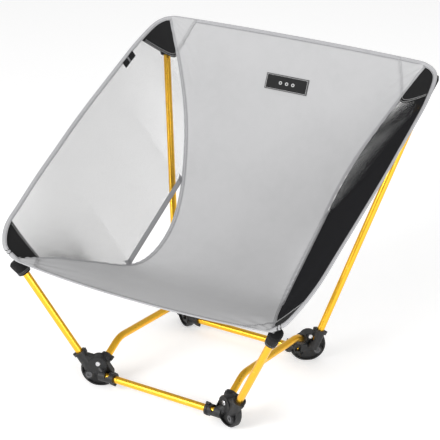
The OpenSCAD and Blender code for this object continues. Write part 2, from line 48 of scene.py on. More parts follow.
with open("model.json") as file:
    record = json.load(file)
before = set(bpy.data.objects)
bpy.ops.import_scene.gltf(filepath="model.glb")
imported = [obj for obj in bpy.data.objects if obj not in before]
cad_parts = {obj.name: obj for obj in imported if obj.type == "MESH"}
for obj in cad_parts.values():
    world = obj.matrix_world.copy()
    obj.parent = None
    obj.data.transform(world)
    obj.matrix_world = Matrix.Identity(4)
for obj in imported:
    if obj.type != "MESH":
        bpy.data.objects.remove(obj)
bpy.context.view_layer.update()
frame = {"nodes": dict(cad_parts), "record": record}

# ---- The sling's guide curves, in metres from the line of the front feet, on the right-hand side ----
FRONT_FEET_Y = sum((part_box("foot_front_right")[i].y for i in (0, 1)), 0.0) / 2
MM = 0.001
SIDE_EDGE = MM * np.array([
    (243, -66, 223), (262, -63, 240), (276, -38, 264), (281, 5, 286), (283, 55, 315),
    (284, 105, 342), (285, 155, 369), (285, 205, 395), (284, 252, 419), (283, 300, 443),
    (281, 345, 466), (272, 393, 491), (250, 409, 504)])
SIDE_SEAM = MM * np.array([
    (243, -66, 223), (226, -34, 216), (209, -1, 208), (191, 33, 194), (173, 68, 180),
    (147, 123, 161), (133, 169, 167), (129, 219, 196), (136, 262, 240), (150, 298, 298),
    (171, 333, 358), (205, 370, 425), (250, 409, 504)])
MID_LINE = MM * np.array([
    (0, -80, 219), (0, -44, 207), (0, -8, 194), (0, 28, 180), (0, 66, 166),
    (0, 123, 150), (0, 177, 152), (0, 236, 182), (0, 283, 232), (0, 320, 290),
    (0, 353, 352), (0, 385, 422), (0, 417, 505)])
ROWS = len(MID_LINE) - 1
HALF_ROW = ROWS / 2
SAG_POWER = 2.2
SLOT_LOW, SLOT_HIGH = 5.05, 8.35
# Where each corner patch ends: at the seam, and at the outer edge
PATCH_FRONT_END, PATCH_REAR_END = (1.35, 2.4), (11.25, 10.2)
PATCH_FRONT_TIP, PATCH_REAR_TIP = 0.24, 11.88
GUSSET_FRONT_END, GUSSET_REAR_END = PATCH_FRONT_END[0], PATCH_REAR_END[0]
GUSSET_FRONT_U, GUSSET_REAR_U = 0.78, 0.77
CORNERS = ("front_left", "front_right", "rear_left", "rear_right")


# ---- Curves and surfaces ---------------------------------------------------------------------------
def spline(points, t):
    """The smooth curve through the points: between two of them, the cubic whose slopes are half the
    step between the neighbours on either side."""
    p = np.vstack([2 * points[0] - points[1], points, 2 * points[-1] - points[-2]])
    t = np.asarray(t, float)
    i = np.clip(np.floor(t).astype(int), 0, len(points) - 2)
    f = (t - i)[..., None]
    a, b, c, d = p[i], p[i + 1], p[i + 2], p[i + 3]
    return 0.5 * (2 * b + (c - a) * f + (2 * a - 5 * b + 4 * c - d) * f**2
                  + (3 * b - a - 3 * c + d) * f**3)


def unit(v):
    return v / np.maximum(np.linalg.norm(v, axis=-1, keepdims=True), 1e-12)


def smooth(x, low, high):
    """0 below low, 1 above high, and a smooth step between."""
    t = np.clip((x - low) / (high - low), 0, 1)
    return t * t * (3 - 2 * t)


def panel_point(u, v):
    """The centre panel: x is the seam's x times u, and the rest goes from the middle line to the seam
    as the power 2.2 of u, so that it hangs flat in the middle and turns up at the sides."""
    u, v = np.broadcast_arrays(np.asarray(u, float), np.asarray(v, float))
    seam, mid = spline(SIDE_SEAM, v), spline(MID_LINE, v)
    k = np.abs(u)[..., None] ** SAG_POWER
    p = mid + (seam - mid) * k
    p[..., 0] = seam[..., 0] * u
    return p


def side_inner(v):
    """The inner edge of the side panel: the seam, and a straight line across the hip slot."""
    v = np.asarray(v, float)
    low, high = spline(SIDE_SEAM, SLOT_LOW), spline(SIDE_SEAM, SLOT_HIGH)
    t = ((v - SLOT_LOW) / (SLOT_HIGH - SLOT_LOW))[..., None]
    return np.where((t > 0) & (t < 1), low + (high - low) * t, spline(SIDE_SEAM, v))


def side_point(s, v):
    """The side panel: a straight line from the inner edge, at s 0, to the outer edge, at s 1."""
    inner, outer = side_inner(v), spline(SIDE_EDGE, v)
    return inner + (outer - inner) * np.asarray(s, float)[..., None]


def side_width(v):
    return np.linalg.norm(spline(SIDE_EDGE, v) - side_inner(v), axis=-1)


def grid_normals(g):
    """The normals of a grid of points: its step along the rows crossed with its step across them."""
    return unit(np.cross(np.gradient(g, axis=0), np.gradient(g, axis=1)))


def lengths(path):
    return np.concatenate([[0], np.cumsum(np.linalg.norm(np.diff(path, axis=0), axis=1))])


def even(path, step, *more):
    """The path, and any arrays that go with it, at equal steps along it."""
    along = lengths(path)
    at = np.linspace(0, along[-1], max(2, round(along[-1] / step) + 1))
    out = [np.stack([np.interp(at, along, a[:, i]) for i in range(a.shape[1])], 1)
           for a in (path, *more)]
    return out[0] if not more else out


# ---- Shapes: points, quads, other faces and UV in metres --------------------------------------------
class Shape:
    """Points, faces of four corners, faces of more corners, and one UV a point."""

    def __init__(self, points, quads, caps=(), uv=None):
        self.points = np.asarray(points, float).reshape(-1, 3)
        self.quads = np.asarray(quads, int).reshape(-1, 4)
        self.caps = [np.asarray(c, int) for c in caps]
        self.uv = self.points[:, :2] if uv is None else np.asarray(uv, float).reshape(-1, 2)

    def mirrored(self):
        """The left-hand twin, its faces turned round so that they still point outwards."""
        return Shape(self.points * (-1, 1, 1), self.quads[:, ::-1], [c[::-1] for c in self.caps], self.uv)


def joined(shapes):
    shapes = list(shapes)
    starts = np.concatenate([[0], np.cumsum([len(s.points) for s in shapes])])
    return Shape(
        np.vstack([s.points for s in shapes]),
        np.vstack([s.quads + k for s, k in zip(shapes, starts)]),
        [c + k for s, k in zip(shapes, starts) for c in s.caps],
        np.vstack([s.uv for s in shapes]),
    )


def cloth(grid, thick, lift=0.0):
    """A closed sheet around a grid: the grid moved along its normals by lift and by half the thickness
    each way, with a rim on all four sides. UV is the distance along the rows and columns."""
    n, m = grid.shape[:2]
    normal = grid_normals(grid)
    top, low = grid + normal * (lift + thick / 2), grid + normal * (lift - thick / 2)
    i, j = np.meshgrid(np.arange(n - 1), np.arange(m - 1), indexing="ij")
    a = (i * m + j).ravel()
    up = np.stack([a, a + m, a + m + 1, a + 1], 1)
    k = n * m
    edge = np.concatenate([
        np.arange(m), np.arange(1, n) * m + m - 1,
        (n - 1) * m + np.arange(m - 2, -1, -1), np.arange(n - 2, 0, -1) * m])
    after = np.roll(edge, -1)
    rim = np.stack([edge, after, after + k, edge + k], 1)
    across = np.concatenate([np.zeros((n, 1)), np.cumsum(
        np.linalg.norm(np.diff(grid, axis=1), axis=2), axis=1)], 1)
    across -= across.mean(axis=1, keepdims=True)
    along = lengths(grid[:, m // 2])
    uv = np.stack([across, np.broadcast_to(along[:, None], across.shape)], -1).reshape(-1, 2)
    return Shape(np.vstack([top.reshape(-1, 3), low.reshape(-1, 3)]),
                 np.vstack([up, up[:, ::-1] + k, rim]), (), np.vstack([uv, uv]))


def band(path, up, profile):
    """A closed profile carried along a path: its first number goes across, away from the path and up,
    and its second along up. UV is the distance round the profile and along the path."""
    n, k = len(path), len(profile)
    along = unit(np.gradient(path, axis=0))
    across = unit(np.cross(along, up))
    up = np.cross(across, along)
    points = path[:, None] + across[:, None] * profile[None, :, :1] + up[:, None] * profile[None, :, 1:]
    i, j = np.meshgrid(np.arange(n - 1), np.arange(k), indexing="ij")
    a, b = (i * k + j).ravel(), (i * k + (j + 1) % k).ravel()
    quads = np.stack([a, b, b + k, a + k], 1)
    caps = [np.arange(k)[::-1], (n - 1) * k + np.arange(k)]
    turn = lengths(np.vstack([profile, profile[:1]]))
    fold = np.minimum(turn[:-1], turn[-1] - turn[:-1])
    uv = np.stack(np.broadcast_arrays(fold[None, :], lengths(path)[:, None]), -1)
    return Shape(points, quads, caps, uv)


def flat_oval(width, thick, sides=14, power=0.55):
    """A flattened oval profile: the cosine and sine of the angle, each drawn towards 1 by the power."""
    a = -np.arange(sides) * 2 * math.pi / sides
    c, s = np.cos(a), np.sin(a)
    return np.stack([np.sign(c) * np.abs(c) ** power * width / 2,
                     np.sign(s) * np.abs(s) ** power * thick / 2], 1)


def stitches(path, up, pitch=0.0028, length=0.0019, radius=0.00028):
    """A row of stitches: short round threads end to end along the path, each an arch that rises out of
    the cloth and dips back in at its ends."""
    path, up = even(path, pitch, up)
    up = unit(up)
    along = unit(np.gradient(path, axis=0))
    across = unit(np.cross(along, up))
    rings, sides = 5, 6
    t = np.linspace(-1, 1, rings)
    angle = -np.arange(sides) * 2 * math.pi / sides
    reach = (t * length / 2)[:, None] + 0 * angle
    high = (radius * (0.9 - 1.9 * t**2))[:, None] + radius * np.sin(angle)
    wide = radius * np.cos(angle) + 0 * t[:, None]
    points = (path[:, None, None] + along[:, None, None] * reach[None, ..., None]
              + up[:, None, None] * high[None, ..., None] + across[:, None, None] * wide[None, ..., None])
    i, j = np.meshgrid(np.arange(rings - 1), np.arange(sides), indexing="ij")
    a, b = (i * sides + j).ravel(), (i * sides + (j + 1) % sides).ravel()
    one = np.stack([a, b, b + sides, a + sides], 1)
    each = rings * sides
    starts = np.arange(len(path)) * each
    quads = (starts[:, None, None] + one).reshape(-1, 4)
    ends = np.concatenate([starts[:, None] + np.arange(sides)[::-1],
                           starts[:, None] + each - sides + np.arange(sides)])
    return Shape(points, quads, list(ends))


# ---- Objects ----------------------------------------------------------------------------------------
def build(name, shape, material, side="right", crease=35.0):
    """A named object from a shape, at the origin, smooth but for creases over the given angle."""
    if side == "left":
        shape = shape.mirrored()
    points = shape.points + (0, FRONT_FEET_Y, 0)
    mesh = bpy.data.meshes.new(name)
    corner = np.concatenate([shape.quads.ravel(), *shape.caps])
    count = np.concatenate([np.full(len(shape.quads), 4), [len(c) for c in shape.caps]]).astype(int)
    mesh.vertices.add(len(points))
    mesh.vertices.foreach_set("co", points.astype(np.float32).ravel())
    mesh.loops.add(len(corner))
    mesh.loops.foreach_set("vertex_index", corner.astype(np.int32))
    mesh.polygons.add(len(count))
    mesh.polygons.foreach_set("loop_start", (np.cumsum(count) - count).astype(np.int32))
    mesh.update(calc_edges=True)
    mesh.uv_layers.new(name="cloth").data.foreach_set("uv", shape.uv[corner].astype(np.float32).ravel())
    mesh.polygons.foreach_set("use_smooth", np.ones(len(count), bool))
    mesh.set_sharp_from_angle(angle=math.radians(crease))
    if mesh.validate():
        raise RuntimeError(f"{name}: the mesh had faces that aren't valid")
    mesh.materials.append(material)
    obj = bpy.data.objects.new(name, mesh)
    bpy.context.scene.collection.objects.link(obj)
    return obj


def side_of(corner):
    return corner.split("_")[1]


def give_with(obj, corner):
    """The piece with its place baked into its points. The tip of the corner's pole is worked out, but nothing
    uses it.
    """
    end, side = corner.split("_")
    tip = (SIDE_EDGE[0] if end == "front" else SIDE_EDGE[-1]) * ((-1, 1, 1) if side == "left" else 1)
    tip = tip + (0, FRONT_FEET_Y, 0)
    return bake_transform(obj)


# ---- Finishes ---------------------------------------------------------------------------------------
def linear(hexcode):
    """The colour of a web code, as the light that a shader takes."""
    c = np.array([int(hexcode[i:i + 2], 16) for i in (1, 3, 5)]) / 255
    return tuple(np.where(c <= 0.04045, c / 12.92, ((c + 0.055) / 1.055) ** 2.4)) + (1.0,)


class Wiring:
    """Short ways to place nodes in a tree and join their sockets."""

    def __init__(self, tree):
        self.tree = tree

    def node(self, kind, values=None, **options):
        n = self.tree.nodes.new(kind)
        for key, value in options.items():
            setattr(n, key, value)
        for key, value in (values or {}).items():
            if isinstance(value, bpy.types.NodeSocket):
                self.tree.links.new(value, n.inputs[key])
            else:
                n.inputs[key].default_value = value
        return n

    def math(self, operation, *values):
        return self.node("ShaderNodeMath", dict(enumerate(values)), operation=operation).outputs[0]

    def scaled(self, vector, by):
        return self.node("ShaderNodeVectorMath", {0: vector, 1: by}, operation="MULTIPLY").outputs[0]

    def noise(self, vector, scale, detail=3.0):
        values = {"Vector": vector, "Scale": scale, "Detail": detail}
        return self.node("ShaderNodeTexNoise", values).outputs["Fac"]

    def mix(self, factor, a, b):
        n = self.node("ShaderNodeMix", data_type="RGBA")
        for key, value in ((0, factor), (6, a), (7, b)):
            if isinstance(value, bpy.types.NodeSocket):
                self.tree.links.new(value, n.inputs[key])
            else:
                n.inputs[key].default_value = value
        return n.outputs[2]


def new_group(name, inputs, outputs):
    """An empty shader group with named sockets; gives its wiring, its input sockets and its output node."""
    group = bpy.data.node_groups.new(name, "ShaderNodeTree")
    for label, kind, value in inputs:
        socket = group.interface.new_socket(name=label, in_out="INPUT", socket_type=kind)
        if value is not None:
            socket.default_value = value
    for label, kind in outputs:
        group.interface.new_socket(name=label, in_out="OUTPUT", socket_type=kind)
    w = Wiring(group)
    return w, w.node("NodeGroupInput").outputs, w.node("NodeGroupOutput")


FLOAT, VECTOR = "NodeSocketFloat", "NodeSocketVector"


def weave_group():
    """A plain weave: each thread is a half sine across, and passes over and under by the sign of the product
    of the two threads' sines. Shade is painted shade, darker in the gaps between the threads, with a little
    random slub tone in it, and Height is the cloth's relief."""
    w, given, out = new_group(
        "Weave", [("Vector", VECTOR, None), ("Pitch", FLOAT, 0.0005), ("Slub", FLOAT, 0.3)],
        [("Height", FLOAT), ("Shade", FLOAT)])
    parts = w.node("ShaderNodeSeparateXYZ", {0: given["Vector"]})
    turns = w.math("DIVIDE", math.pi, given["Pitch"])
    sine = [w.math("SINE", w.math("MULTIPLY", parts.outputs[i], turns)) for i in (0, 1)]
    over = w.math("GREATER_THAN", w.math("MULTIPLY", *sine), 0.0)
    x, y = [w.math("ABSOLUTE", s) for s in sine]
    thread = w.math("ADD", w.math("MULTIPLY", over, x), w.math("MULTIPLY", w.math("SUBTRACT", 1.0, over), y))
    slub = w.noise(w.scaled(given["Vector"], (60, 900, 1)), 1.0, 2.0)
    rough = w.math("MULTIPLY", slub, given["Slub"])
    height = w.math("ADD", thread, rough)
    w.tree.links.new(height, out.inputs["Height"])
    # Painted shade: darker where the threads dip apart into the gaps; the slub adds random tone to it
    shade = w.math("MULTIPLY_ADD", thread, 0.25, w.math("MULTIPLY_ADD", rough, 0.4, 0.7))
    w.tree.links.new(shade, out.inputs["Shade"])
    return w.tree


def mottle_group():
    """Soft unevenness: noise of hand's breadth and of finger's breadth added together, about 0."""
    w, given, out = new_group(
        "Mottle", [("Vector", VECTOR, None), ("Scale", FLOAT, 12.0)], [("Value", FLOAT)])
    wide = w.noise(given["Vector"], given["Scale"], 2.0)
    fine = w.noise(given["Vector"], w.math("MULTIPLY", given["Scale"], 7.0), 3.0)
    both = w.math("ADD", w.math("MULTIPLY", wide, 0.65), w.math("MULTIPLY", fine, 0.35))
    w.tree.links.new(w.math("SUBTRACT", both, 0.5), out.inputs["Value"])
    return w.tree


def grain_group():
    """Moulded grain: the distance to scattered cell centres, and fine noise over it."""
    w, given, out = new_group(
        "Grain", [("Vector", VECTOR, None), ("Scale", FLOAT, 1400.0)], [("Height", FLOAT), ("Scuff", FLOAT)])
    cells = w.node("ShaderNodeTexVoronoi", {"Vector": given["Vector"], "Scale": given["Scale"]})
    fine = w.noise(given["Vector"], w.math("MULTIPLY", given["Scale"], 2.5), 2.0)
    height = w.math("MULTIPLY_ADD", fine, 0.4, cells.outputs["Distance"])
    w.tree.links.new(height, out.inputs["Height"])
    broad = w.noise(given["Vector"], 90.0, 6.0)
    scuff = w.node("ShaderNodeMapRange", {0: broad, 1: 0.55, 2: 0.72, 3: 0.0, 4: 1.0})
    w.tree.links.new(scuff.outputs[0], out.inputs["Scuff"])
    return w.tree


def scratch_group():
    """Fine scratches: noise drawn out along Z by the stretch, where only its crests show."""
    w, given, out = new_group(
        "Scratches", [("Vector", VECTOR, None), ("Scale", FLOAT, 300.0)],
        [("Mask", FLOAT), ("Streak", FLOAT)])
    streak = w.noise(w.scaled(given["Vector"], (1.0, 0.35, 0.06)), given["Scale"], 4.0)
    crossed = w.noise(w.scaled(given["Vector"], (0.2, 1.0, 0.9)), given["Scale"], 2.0)
    crest = w.node("ShaderNodeMapRange", {0: crossed, 1: 0.63, 2: 0.74, 3: 0.0, 4: 1.0})
    w.tree.links.new(crest.outputs[0], out.inputs["Mask"])
    w.tree.links.new(streak, out.inputs["Streak"])
    return w.tree


GROUPS = {}
FINISHES = {}


def group_node(w, name, values):
    makers = {"Weave": weave_group, "Mottle": mottle_group, "Grain": grain_group, "Scratches": scratch_group}
    if name not in GROUPS:
        GROUPS[name] = makers[name]()
    n = w.node("ShaderNodeGroup", node_tree=GROUPS[name])
    for key, value in values.items():
        if isinstance(value, bpy.types.NodeSocket):
            w.tree.links.new(value, n.inputs[key])
        else:
            n.inputs[key].default_value = value
    return n.outputs


def new_material(name, **sockets):
    """A material with a Principled shader, its plain values set on the shader's own sockets."""
    m = bpy.data.materials.new(name)
    m.use_nodes = True
    m.node_tree.nodes.clear()
    w = Wiring(m.node_tree)
    shader = w.node("ShaderNodeBsdfPrincipled", {k.replace("_", " "): v for k, v in sockets.items()})
    output = w.node("ShaderNodeOutputMaterial")
    w.tree.links.new(shader.outputs[0], output.inputs[0])
    m.diffuse_color = shader.inputs["Base Color"].default_value
    return m, w, shader


def relief(w, shader, height, distance, strength=1.0):
    bump = w.node("ShaderNodeBump", {"Height": height, "Distance": distance, "Strength": strength})
    w.tree.links.new(bump.outputs[0], shader.inputs["Normal"])


def woven(name, colour, dark, pitch, distance, roughness=0.75, sheen=0.15, mottle=0.5, gloss=0.35):
    """A woven cloth on the piece's own UV map: painted shade darkens the colour in the gaps between its
    threads, and the colour drifts a little at random over the piece."""
    m, w, shader = new_material(
        name, Base_Color=colour, Roughness=roughness, Sheen_Weight=sheen, Sheen_Roughness=0.4,
        Specular_IOR_Level=gloss)
    at = w.node("ShaderNodeTexCoord")
    weave = group_node(w, "Weave", {"Vector": at.outputs["UV"], "Pitch": pitch})
    drift = group_node(w, "Mottle", {"Vector": at.outputs["Object"], "Scale": 9.0})["Value"]
    tone = w.math("MULTIPLY_ADD", drift, mottle, weave["Shade"])
    # Painted shade: the colour goes towards the gap colour in the weave's gaps, and drifts at random over the
    # piece
    w.tree.links.new(w.mix(tone, dark, colour), shader.inputs["Base Color"])
    rough = w.math("MULTIPLY_ADD", drift, 0.3, roughness)
    w.tree.links.new(rough, shader.inputs["Roughness"])
    relief(w, shader, weave["Height"], distance)
    return m


def moulded(name, colour, worn, roughness, scale=1400.0, distance=0.00004):
    """Moulded plastic: fine grain, and paler scuffs where it has rubbed."""
    m, w, shader = new_material(name, Base_Color=colour, Roughness=roughness)
    at = w.node("ShaderNodeTexCoord").outputs["Object"]
    grain = group_node(w, "Grain", {"Vector": at, "Scale": scale})
    scuffed = w.mix(w.math("MULTIPLY", grain["Scuff"], 0.5), colour, worn)
    w.tree.links.new(scuffed, shader.inputs["Base Color"])
    w.tree.links.new(w.math("MULTIPLY_ADD", grain["Scuff"], 0.15, roughness), shader.inputs["Roughness"])
    relief(w, shader, grain["Height"], distance, 0.6)
    return m


def metal(name, colour, worn, roughness, metallic=1.0, **more):
    """Drawn and finished tube: fine streaks in its colour and gloss, and a few bright scratches."""
    m, w, shader = new_material(name, Base_Color=colour, Roughness=roughness, Metallic=metallic, **more)
    at = w.node("ShaderNodeTexCoord").outputs["Object"]
    marks = group_node(w, "Scratches", {"Vector": at})
    drift = group_node(w, "Mottle", {"Vector": at, "Scale": 25.0})["Value"]
    w.tree.links.new(w.mix(w.math("MULTIPLY", marks["Mask"], 0.3), colour, worn), shader.inputs["Base Color"])
    rough = w.math("ADD", w.math("MULTIPLY_ADD", marks["Streak"], 0.16, roughness - 0.08),
                   w.math("MULTIPLY", drift, 0.12))
    w.tree.links.new(rough, shader.inputs["Roughness"])
    relief(w, shader, marks["Streak"], 0.00002, 0.5)
    return m


# Each woven cloth or thread: its colour, the colour of the painted shade in its gaps, its weave's pitch and
# depth in metres
WOVEN = {
    "panel_grey": ("cloth", "#858586", 0.00055, 0.00006, {}),
    "binding_grey": ("tape", "#77777a", 0.0009, 0.00016, {}),
    "strap_grey": ("#8e8e90", "#4c4c4e", 0.0012, 0.0002, {}),
    "patch_black": ("trim", "#0c0c0d", 0.0007, 0.00012, {"roughness": 0.75, "sheen": 0.01, "gloss": 0.22}),
    "label_black": ("#101011", "#060607", 0.0004, 0.00005, {"roughness": 0.7, "sheen": 0.0}),
    "mesh_black": ("net", "#101011", 0.0003, 0.00003, {"roughness": 0.8, "sheen": 0.0, "gloss": 0.12}),
    "thread_pale": ("#c9c9c9", "#8c8c8c", 0.0004, 0.0001, {}),
    "thread_grey": ("#8b8b8d", "#5a5a5c", 0.0004, 0.0001, {}),
    "thread_dark": ("#68686a", "#3c3c3e", 0.0004, 0.0001, {}),
}
# Each moulded piece: its colour, the colour of its scuffs, its roughness, and its grain if not the usual
MOULDED = {
    "hub_plastic": ("#121213", "#353537", 0.5, {}),
    "foot_plastic": ("#111112", "#343436", 0.55, {"scale": 1000.0}),
    "tip_plastic": ("#202022", "#48484a", 0.5, {}),
    "pin_grey": ("#4c4c4e", "#8a8a8c", 0.4, {}),
    "elastic_cord": ("#2c2c2e", "#6a6a6c", 0.8, {"scale": 2600.0, "distance": 0.0002}),
}
# Each metal: its colour, the colour of its scratches and its roughness
METAL = {
    "pole_gold": ("pole", "#ffe9a8", 0.3),
    "rivet_steel": ("#d6d6d8", "#f4f4f4", 0.25),
    "ferrule_aluminium": ("#cfd0d2", "#efefef", 0.35),
}


def colour_of(name):
    """A colour given by its code, or by the name of one of the chair's settings."""
    if name.startswith("#"):
        return linear(name)
    return tuple(getattr(bpy.context.scene.chair_looks, name)) + (1,)


def finish_of(slot):
    """The finish for a material slot of the record, made the first time that it is asked for."""
    if slot in FINISHES:
        return FINISHES[slot]
    if slot in WOVEN:
        # The second colour is the painted shade in the weave's gaps
        colour, gaps, pitch, depth, more = WOVEN[slot]
        made = woven(slot, colour_of(colour), colour_of(gaps), pitch, depth, **more)
    elif slot in MOULDED:
        colour, worn, roughness, more = MOULDED[slot]
        made = moulded(slot, colour_of(colour), colour_of(worn), roughness, **more)
    else:
        colour, worn, roughness = METAL[slot]
        made = metal(slot, colour_of(colour), colour_of(worn), roughness)
    FINISHES[slot] = made
    return made


def dressed(name, shape, slot, corner=None, nodes=(), side="right", body=None, crease=35.0, thread=None):
    """A piece of the chair with its finish: placed for a corner, with its place baked into its points, or
    riding on a body.
    """
    obj = build(name, shape, finish_of(thread or slot), side_of(corner) if corner else side, crease)
    if nodes:
        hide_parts(*nodes)
    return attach(obj, body) if body else give_with(obj, corner)


def flat_size(grid):
    """The width and length that the cloth was cut to, over its widest row and its longest column."""
    wide = np.linalg.norm(np.diff(grid, axis=1), axis=2).sum(axis=1).max()
    long = np.linalg.norm(np.diff(grid, axis=0), axis=2).sum(axis=0).max()
    return float(wide), float(long)


def round_size(grid):
    """The sides of the rectangle round a small, nearly flat piece: its extents along the direction in
    which it is longest, and across that."""
    p = grid.reshape(-1, 3) - grid.reshape(-1, 3).mean(axis=0)
    axes = np.linalg.svd(p, full_matrices=False)[2]
    reach = np.ptp(p @ axes.T, axis=0)
    return float(reach[1]), float(reach[0])


def declare(grid, size=flat_size):
    wide, long = size(grid)


# ---- Sling --------------------------------------------------------------------------------------------
def rows_of(end):
    """The part of the sling, counted from front to top, that belongs to a front or a rear corner."""
    return (0.0, HALF_ROW) if end == "front" else (HALF_ROW, float(ROWS))


def relief_of_panel(u, v, side):
    """How far the centre panel stands off its smooth shape, in metres. Small puckers along the seam fade
    within a finger's breadth of it; folds fan out from the corner and fade with the distance from it;
    long shallow waves cross the seat, and die out in the middle, where the two sides meet."""
    phase = 0.0 if side == "right" else 1.9
    seam = spline(SIDE_SEAM, v)[..., 0]
    inward = (1 - u) * seam
    along = v * 0.042
    pucker = 0.0006 * np.exp(-inward / 0.007) * np.sin(along * 560 + 2.5 * np.sin(along * 45 + phase))
    off_middle = smooth(u, 0.05, 0.45)
    corner_v = np.where(v < HALF_ROW, v, ROWS - v)
    out = np.hypot(inward, corner_v * 0.05) + 1e-6
    angle = np.arctan2(corner_v * 0.05, inward)
    fan = 0.0013 * np.sin(angle * 13 + phase) * np.exp(-out / 0.075) * (1 - np.exp(-out / 0.022))
    wave = 0.0009 * np.sin(along * 38 + u * 3 + phase) * off_middle * np.exp(-inward / 0.06)
    return pucker + (fan + wave) * off_middle


def panel_grid(u, v, side):
    """The centre panel's cloth over a grid of u and v, with its folds."""
    u, v = np.broadcast_arrays(u, v)
    smooth_grid = panel_point(u, v)
    return smooth_grid + grid_normals(smooth_grid) * relief_of_panel(u, v, side)[..., None]


def make_seat(look):
    for corner in CORNERS:
        end, side = corner.split("_")
        low, high = rows_of(end)
        low, high = (0.05, high) if end == "front" else (low, ROWS - 0.02)
        v = np.linspace(low, high, 132)[:, None]
        u = (1 - (1 - np.linspace(0, 1, 96)) ** 1.35)[None, :]
        edge = 1 - 0.0008 / spline(SIDE_SEAM, v)[..., 0]
        grid = panel_grid(u * edge, v, side)
        obj = dressed(f"seat_cloth_{corner}", cloth(grid, look.cloth_thickness), "panel_grey", corner,
                      ("seat_panel",))
        declare(grid)


def on_panel(u, v, lift, side="right"):
    """A line of points on the centre panel, lifted off it, and the panel's normals there. The normals
    point away from the sitter."""
    ahead = np.stack([np.clip(v + d, 0, ROWS) for d in (-0.04, 0, 0.04)])
    grid = np.stack([panel_point(u + d, ahead) for d in (-0.01, 0, 0.01)], axis=2)
    normal = unit(np.cross(grid[2, :, 1] - grid[0, :, 1], grid[1, :, 2] - grid[1, :, 0]))
    middle = panel_point(u, v) + normal * relief_of_panel(u, v, side)[..., None]
    return middle + normal * lift, normal


def on_side(s, v, lift):
    """A line of points on the side panel, lifted off it, and its normals, away from the sitter."""
    run = side_point(s, np.clip(v + 0.05, 0, ROWS)) - side_point(s, np.clip(v - 0.05, 0, ROWS))
    normal = unit(np.cross(run, spline(SIDE_EDGE, v) - side_inner(v)))
    return side_point(s, v) + normal * lift, normal


SEAM_TAPE_W = 0.0046
SITTER = -1.0


def make_seam_tapes(look):
    """A narrow tape over the seam, and along the hem where the hip slot leaves the panel's edge free."""
    for corner in CORNERS:
        end, side = corner.split("_")
        low, high = rows_of(end)
        low, high = (0.1, high) if end == "front" else (low, ROWS - 0.1)
        v = np.linspace(low, high, 160)
        seam = spline(SIDE_SEAM, v)[..., 0]
        inward = np.linspace(SEAM_TAPE_W, -0.0010, 7)
        u = 1 - inward[None, :] / seam[:, None]
        crown = 0.0005 * (1 - ((inward - SEAM_TAPE_W / 2) / (SEAM_TAPE_W / 2 + 0.0006)) ** 2)
        grid = panel_grid(u, np.broadcast_to(v[:, None], u.shape), side)
        grid = grid + grid_normals(grid) * SITTER * (0.0009 + crown)[None, :, None]
        dressed(f"seam_tape_{corner}", cloth(grid, 0.0007), "binding_grey", corner)
        rows = [on_panel(1 - d / seam, v, SITTER * 0.0019, side) for d in (0.0010, 0.0036)]
        lines = joined(stitches(p, n * SITTER) for p, n in rows)
        dressed(f"seam_stitches_{corner}", lines, "binding_grey", corner, thread="thread_grey")
        behind = -SITTER * look.cloth_thickness / 2
        back = [on_panel(1 - d / seam, v, behind, side) for d in (0.0010, 0.0036)]
        lines = joined(stitches(p, -n * SITTER) for p, n in back)
        dressed(f"seam_back_stitches_{corner}", lines, "binding_grey", corner, thread="thread_grey")


def net_threads(v_low, v_high, pitch, width, depth):
    """The net of a side panel: threads at equal distances from its outer edge, and threads straight
    across it at equal steps along the edge. Each is a flat bar, deeper than it is wide."""
    profile = np.array([(-1, -1), (-1, 1), (1, 1), (1, -1)]) * (width / 2, depth / 2)
    probe = np.linspace(v_low, v_high, 500)
    wide = side_width(probe)
    shapes = []
    for k in range(1, int(wide.max() / pitch)):
        inside = probe[wide > k * pitch + 0.0012]
        if len(inside) < 4:
            continue
        v = np.linspace(inside[0], inside[-1], max(4, int((inside[-1] - inside[0]) * 6.5)))
        path, up = on_side(1 - k * pitch / side_width(v), v, 0.0)
        shapes.append(band(path, up, profile))
    edge = spline(SIDE_EDGE, probe)
    at = np.arange(pitch / 2, lengths(edge)[-1], pitch)
    for v in np.interp(at, lengths(edge), probe):
        s = np.linspace(0.0, 1 - 0.002 / side_width(v), 7)
        path, up = on_side(s, np.full(7, v), depth * 0.25)
        shapes.append(band(path, up, profile))
    return joined(shapes)


def make_nets(look):
    for corner in CORNERS:
        end, side = corner.split("_")
        low, high = rows_of(end)
        low, high = (0.7, high) if end == "front" else (low, ROWS - 0.7)
        shape = net_threads(low, high, look.net_pitch, look.net_thread, look.net_depth)
        node = (f"mesh_panel_{side}",)
        obj = dressed(f"net_{corner}", shape, "mesh_black", corner, node)
        v = np.linspace(low, high, 60)
        grid = side_point(np.linspace(0, 1, 12)[None, :], v[:, None])
        declare(grid)


def make_straps(look):
    """A tape along each hip slot, gently crowned, with a bar of close stitches at each end."""
    for side in ("left", "right"):
        v = np.linspace(SLOT_LOW - 0.12, SLOT_HIGH + 0.1, 90)
        wide = side_width(v)
        out = np.linspace(0.0002, look.strap_width, 9)
        crown = 0.0008 * (1 - ((out - look.strap_width / 2) / (look.strap_width / 2)) ** 2)
        grid = np.stack([on_side(d / wide, v, SITTER * (0.0004 + c))[0] for d, c in zip(out, crown)], 1)
        dressed(f"slot_strap_tape_{side}", cloth(grid, 0.0012), "strap_grey", nodes=(f"slot_strap_{side}",),
                side=side, body="root")
        rows = [on_side(d / wide, v, SITTER * 0.0016) for d in (0.0014, look.strap_width - 0.0012)]
        bars = []
        for end_v in (SLOT_LOW + 0.02, SLOT_HIGH - 0.02):
            for step in np.linspace(-0.05, 0.05, 7):
                d = np.linspace(0.0008, look.strap_width - 0.0006, 5)
                v_bar = np.full(5, end_v + step)
                bars.append(on_side(d / side_width(v_bar), v_bar, SITTER * 0.0019))
        shape = joined([stitches(p, n * SITTER) for p, n in rows]
                       + [stitches(p, n * SITTER, 0.0014, 0.0016) for p, n in bars])
        dressed(f"slot_strap_stitches_{side}", shape, "strap_grey", side=side, body="root",
                thread="thread_grey")


